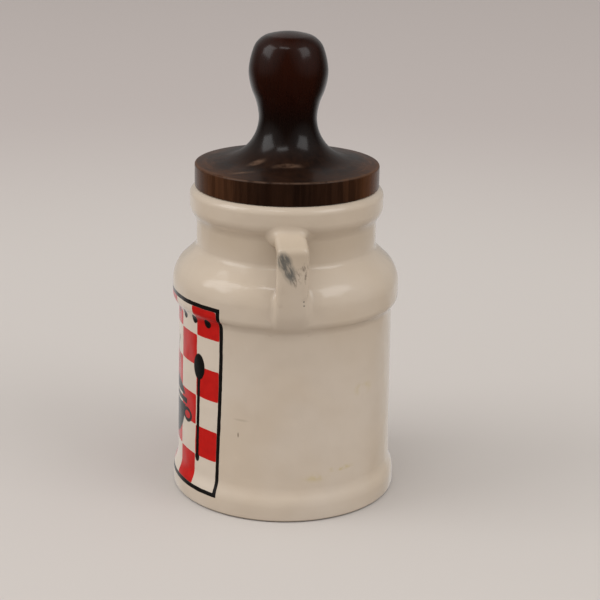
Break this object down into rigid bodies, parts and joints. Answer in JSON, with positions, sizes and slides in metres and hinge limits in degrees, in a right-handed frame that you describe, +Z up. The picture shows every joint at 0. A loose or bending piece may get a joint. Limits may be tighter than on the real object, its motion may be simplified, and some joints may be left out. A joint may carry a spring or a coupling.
{
  "type": "lidded condiment crock",
  "caption": "Glazed ceramic condiment crock shaped like a small milk can, with loop ears, a checked print and a turned wooden lid with a knob.",
  "frame": {"origin": "centre of the foot, on the surface that the crock stands on", "axes": "+Z up through the knob, -Y towards the printed front, +X and -X towards the two ears"},
  "size_m": [0.1022, 0.0952, 0.1935],
  "materials": {
    "glaze": "glossy cream glaze with a printed panel of red and cream checks",
    "stained_wood": "dark red-brown stain under worn gloss varnish"
  },
  "bodies": {
    "root": {"jar": "glaze", "lid": "stained_wood"}
  },
  "joints": []
}
